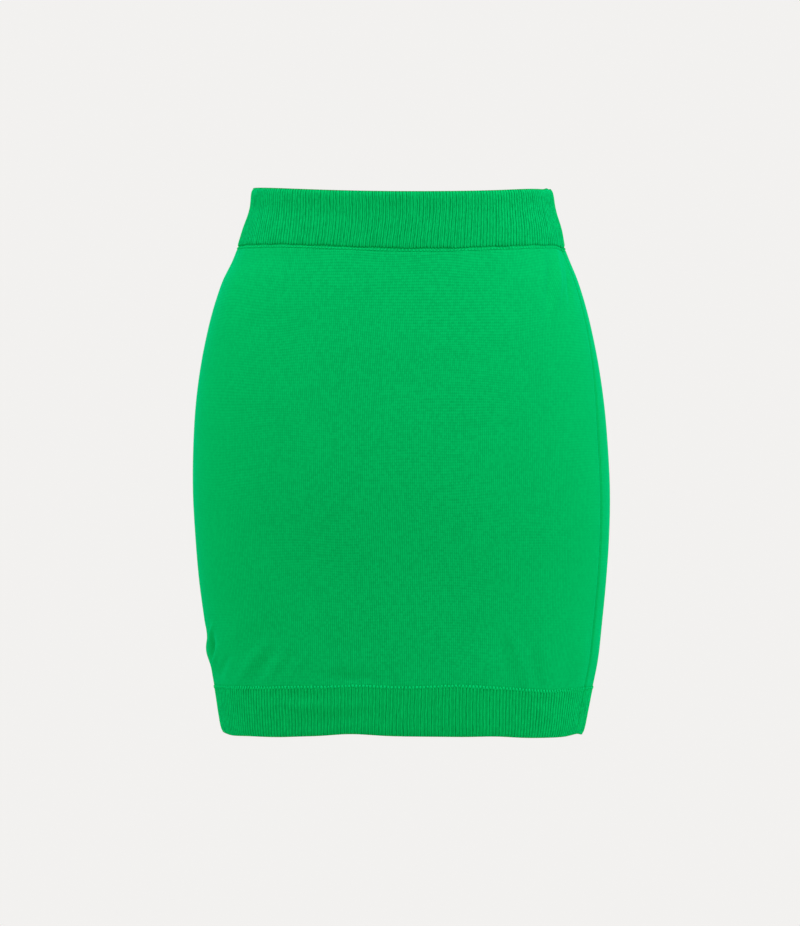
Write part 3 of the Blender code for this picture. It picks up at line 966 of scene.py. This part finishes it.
def dye_and_shade_group():
    """Yarn colour: its dye, uneven over the cloth, mixed with painted shade in the grooves of the knit
    where the crest is low.
    """
    group, given, result = new_group(
        "dye_and_painted_shade",
        (
            ("Position", "Vector", None),
            ("Light", "Color", YARN_GREEN),
            ("Dark", "Color", YARN_SHADE),
            ("Crest", "Float", 1.0),
            ("Unevenness", "Float", 0.12),
        ),
        (("Color", "Color"), ("Roughness", "Float")),
    )
    cloud = noise(group, given.outputs["Position"], scale=22.0, detail=3.0)
    fibre = noise(group, given.outputs["Position"], scale=900.0, detail=2.0)
    mottle = plus(group, minus(group, cloud, 0.5), minus(group, fibre, 0.5))
    share = plus(group, given.outputs["Crest"], times(group, mottle, given.outputs["Unevenness"]))
    limit = add_node(group, "ShaderNodeClamp")
    group.links.new(share, limit.inputs["Value"])
    # the mix paints shade: it goes towards the dark colour where the crest is low, in the knit's grooves
    mix = add_node(group, "ShaderNodeMix", data_type="RGBA")
    group.links.new(limit.outputs[0], mix.inputs["Factor"])
    group.links.new(given.outputs["Dark"], mix.inputs["A"])
    group.links.new(given.outputs["Light"], mix.inputs["B"])
    group.links.new(mix.outputs["Result"], result.inputs["Color"])
    rough = plus(group, times(group, fibre, ROUGHNESS_CHANGE), YARN_ROUGHNESS)
    group.links.new(rough, result.inputs["Roughness"])
    return group


JERSEY_STITCHES = jersey_group()
RIB_STITCHES = rib_group()
DYE_AND_SHADE = dye_and_shade_group()


def use_group(tree, group):
    return add_node(tree, "ShaderNodeGroup", node_tree=group)


def new_material(name):
    material = bpy.data.materials.new(name)
    material.use_nodes = True
    shader = next(node for node in material.node_tree.nodes if node.type == "BSDF_PRINCIPLED")
    return material, shader


def yarn_material(name, sheen):
    """Matt dyed yarn with a soft bloom towards its edges. Its crest and its normal are set afterwards."""
    material, shader = new_material(name)
    tree = material.node_tree
    shader.inputs["Specular IOR Level"].default_value = 0.0
    shader.inputs["Sheen Weight"].default_value = sheen
    shader.inputs["Sheen Roughness"].default_value = SHEEN_ROUGHNESS
    shader.inputs["Sheen Tint"].default_value = SHEEN_GREEN
    place = add_node(tree, "ShaderNodeTexCoord")
    dye_and_shade = use_group(tree, DYE_AND_SHADE)
    tree.links.new(place.outputs["Object"], dye_and_shade.inputs["Position"])
    tree.links.new(dye_and_shade.outputs["Color"], shader.inputs["Base Color"])
    tree.links.new(dye_and_shade.outputs["Roughness"], shader.inputs["Roughness"])
    return material, tree, shader, place, dye_and_shade


def raise_height(tree, shader, height, strength, distance):
    bump = add_node(tree, "ShaderNodeBump")
    bump.inputs["Strength"].default_value = strength
    bump.inputs["Distance"].default_value = distance * MM
    tree.links.new(height, bump.inputs["Height"])
    tree.links.new(bump.outputs["Normal"], shader.inputs["Normal"])


def knit_stitches(tree, stitches, place, mapped, dye_and_shade, light, dark):
    """Lays a group's stitches on the UV map and colours them, with painted shade in the grooves between
    them.
    """
    tree.links.new(mapped, stitches.inputs["UV"])
    tree.links.new(place.outputs["Object"], stitches.inputs["Position"])
    tree.links.new(stitches.outputs["Shade"], dye_and_shade.inputs["Crest"])
    dye_and_shade.inputs["Light"].default_value = light
    dye_and_shade.inputs["Dark"].default_value = dark


def jersey_material(name, wales, courses, strength, sheen, turned):
    """Plain knit. Turned, it shows the level bars of its reverse side instead of the V shapes."""
    material, tree, shader, place, dye_and_shade = yarn_material(name, sheen)
    stitches = use_group(tree, JERSEY_STITCHES)
    stitches.inputs["Wales"].default_value = wales
    stitches.inputs["Courses"].default_value = courses
    spin = add_node(tree, "ShaderNodeMapping")
    if turned:
        spin.inputs["Rotation"].default_value = Euler((0.0, 0.0, math.pi / 2))
    tree.links.new(place.outputs["UV"], spin.inputs["Vector"])
    knit_stitches(tree, stitches, place, spin.outputs["Vector"], dye_and_shade, JERSEY_LIGHT, JERSEY_DARK)
    raise_height(tree, shader, stitches.outputs["Height"], strength, distance=0.25)
    return material


def rib_material(name, contrast, light):
    """Rib knit on the ribs of the mesh: small stitches on each crest and shade in each groove."""
    material, tree, shader, place, dye_and_shade = yarn_material(name, sheen=0.38)
    stitches = use_group(tree, RIB_STITCHES)
    stitches.inputs["Contrast"].default_value = contrast
    knit_stitches(tree, stitches, place, place.outputs["UV"], dye_and_shade, light, RIB_DARK)
    raise_height(tree, shader, stitches.outputs["Height"], strength=0.35, distance=0.22)
    return material


def thread_material(name, crest):
    """The yarn of the sewing, twisted along its length."""
    material, tree, shader, place, dye_and_shade = yarn_material(name, sheen=0.35)
    dye_and_shade.inputs["Crest"].default_value = crest
    # its light colour is a painted highlight, paler than the knit's yarn
    dye_and_shade.inputs["Light"].default_value = STITCH_HIGHLIGHT
    twist = noise(tree, place.outputs["Object"], scale=1600.0, detail=2.0)
    raise_height(tree, shader, twist, strength=0.3, distance=0.15)
    return material


# ---------------- camera, lights and room

PIXEL = 0.82 * MM
FRAME_PIXELS = (800, 926)
AXIS_PIXEL = (401.5, 463.0)
WAIST_EDGE_PIXEL = 188.5
CAMERA_DISTANCE = 5.0
CAMERA_REACH = 50.0
SENSOR = 24.0

# The room, in metres from the middle of the waistband, and its soft lights, in watts
FLOOR_HEIGHT = -1.0
FLOOR_RADIUS = 3.0
FLOOR_SIDES = 96
FLOOR_PALE = (0.80, 0.79, 0.775, 1.0)
PALE = (0.890, 0.880, 0.866, 1.0)
WARM_FILL = (0.890, 0.880, 0.520, 1.0)
FILL_STRENGTH = 0.545
COOL_WHITE = (0.95, 1.0, 1.38)
LIGHTS_AIM = (0.0, 0.0, -0.2)
SoftLight = namedtuple("SoftLight", "name place size power")
SOFT_LIGHTS = (
    SoftLight("top_light", (0.0, -0.9, 1.9), 1.6, 41.0),
    SoftLight("right_light", (2.3, -0.1, 0.5), 1.4, 14.5),
    SoftLight("left_light", (-2.3, -0.1, 0.5), 1.4, 9.6),
    SoftLight("right_front_light", (1.8, -1.8, 0.7), 1.4, 4.5),
    SoftLight("low_left_light", (-2.0, 0.8, -0.6), 1.0, 9.0),
    SoftLight("low_right_light", (2.0, 0.8, -0.6), 1.0, 9.0),
)


def make_camera():
    """A long lens level with the middle of the skirt, square on to its front."""
    lens = bpy.data.cameras.new("photo_camera")
    lens.sensor_fit = "VERTICAL"
    lens.sensor_height = SENSOR
    lens.lens = SENSOR * CAMERA_DISTANCE / (FRAME_PIXELS[1] * PIXEL)
    lens.clip_end = CAMERA_REACH
    camera = new_object("photo_camera", lens)
    aside = (FRAME_PIXELS[0] / 2 - AXIS_PIXEL[0]) * PIXEL
    height = ORIGIN_DROP * MM - (AXIS_PIXEL[1] - WAIST_EDGE_PIXEL) * PIXEL
    camera.location = (aside, -CAMERA_DISTANCE, height)
    camera.rotation_euler = (math.pi / 2, 0.0, 0.0)
    bpy.context.scene.camera = camera


def make_soft_light(name, place, size, power):
    """A square soft light turned to the skirt."""
    lamp = bpy.data.lights.new(name, "AREA")
    lamp.shape = "SQUARE"
    lamp.size = size
    lamp.energy = power
    lamp.color = COOL_WHITE
    light = new_object(name, lamp)
    light.location = place
    light.rotation_euler = (Vector(LIGHTS_AIM) - Vector(place)).to_track_quat("-Z", "Y").to_euler()


def make_floor():
    """A pale floor well below the hem."""
    ground = bmesh.new()
    level = Matrix.Translation((0, 0, FLOOR_HEIGHT))
    bmesh.ops.create_circle(ground, cap_ends=True, segments=FLOOR_SIDES, radius=FLOOR_RADIUS, matrix=level)
    data = bpy.data.meshes.new("floor")
    ground.to_mesh(data)
    ground.free()
    paint, shader = new_material("pale_floor")
    shader.inputs["Base Color"].default_value = FLOOR_PALE
    shader.inputs["Roughness"].default_value = 0.9
    data.materials.append(paint)
    floor = new_object("floor", data)


def make_surround():
    """An even pale surround, seen by the camera in one colour, that fills in the shadows in another."""
    world = bpy.data.worlds.new("pale_surround")
    world.use_nodes = True
    tree = world.node_tree
    tree.nodes.clear()
    seen = add_node(tree, "ShaderNodeBackground")
    seen.inputs["Color"].default_value = PALE
    fill = add_node(tree, "ShaderNodeBackground")
    fill.inputs["Color"].default_value = WARM_FILL
    fill.inputs["Strength"].default_value = FILL_STRENGTH
    path = add_node(tree, "ShaderNodeLightPath")
    mix = add_node(tree, "ShaderNodeMixShader")
    end = add_node(tree, "ShaderNodeOutputWorld")
    tree.links.new(path.outputs["Is Camera Ray"], mix.inputs[0])
    tree.links.new(fill.outputs[0], mix.inputs[1])
    tree.links.new(seen.outputs[0], mix.inputs[2])
    tree.links.new(mix.outputs[0], end.inputs["Surface"])
    bpy.context.scene.world = world


# ---------------- the skirt


def panel_area(half):
    """The area of a panel's cut, from the arcs between its side seams, and its greatest width."""
    drops, widths = panel_widths(half)
    step = drops[1] - drops[0]
    area = ((widths[1:] + widths[:-1]) / 2 * step).sum()
    return float(area), float(widths.max())


def seam_to_seam(half, drop):
    """The length of the arc from one side seam of a half to the other."""
    return float(arc_lengths(half, drop)[1][-1])


def make_skirt():
    wales = WALES / 2
    jersey = jersey_material("body_jersey", wales, COURSES, strength=0.30, sheen=0.38, turned=False)
    reverse = jersey_material("body_jersey_reverse", COURSES, wales, strength=0.45, sheen=0.20, turned=True)
    waist_rib = rib_material("waistband_rib", contrast=0.72, light=WAIST_LIGHT)
    hem_rib = rib_material("hem_rib", contrast=0.40, light=HEM_LIGHT)
    link_yarn = thread_material("linking_yarn", crest=1.0)
    loop_yarn = thread_material("loop_yarn", crest=1.0)
    seam_yarn = thread_material("seam_yarn", crest=0.3)
    left = make_allowance("side_seam_left_inside", FRONT.first_seam, seam_yarn)
    right = make_allowance("side_seam_right_inside", BACK.first_seam, seam_yarn)
    for half, seam in ((FRONT, left), (BACK, right)):
        band = make_band("waistband", half, band_profile(), BAND_RIBS // 2, waist_rib)
        panel = make_body(half, jersey, reverse)
        hem = make_band("hem", half, hem_profile(), HEM_RIBS // 2, hem_rib)
        links = make_linking(half, link_yarn)
        loops = make_line_loops(half, loop_yarn)
        band_width = seam_to_seam(half, BAND_HEIGHT / 2)
        area, width = panel_area(half)
        hem_width = seam_to_seam(half, (HEM_LINE + SKIRT_LENGTH) / 2)


def main():
    scene = bpy.context.scene
    scene.view_settings.view_transform = "Standard"
    scene.view_settings.look = "None"
    make_camera()
    make_floor()
    make_surround()
    for light in SOFT_LIGHTS:
        make_soft_light(*light)
    make_skirt()


main()
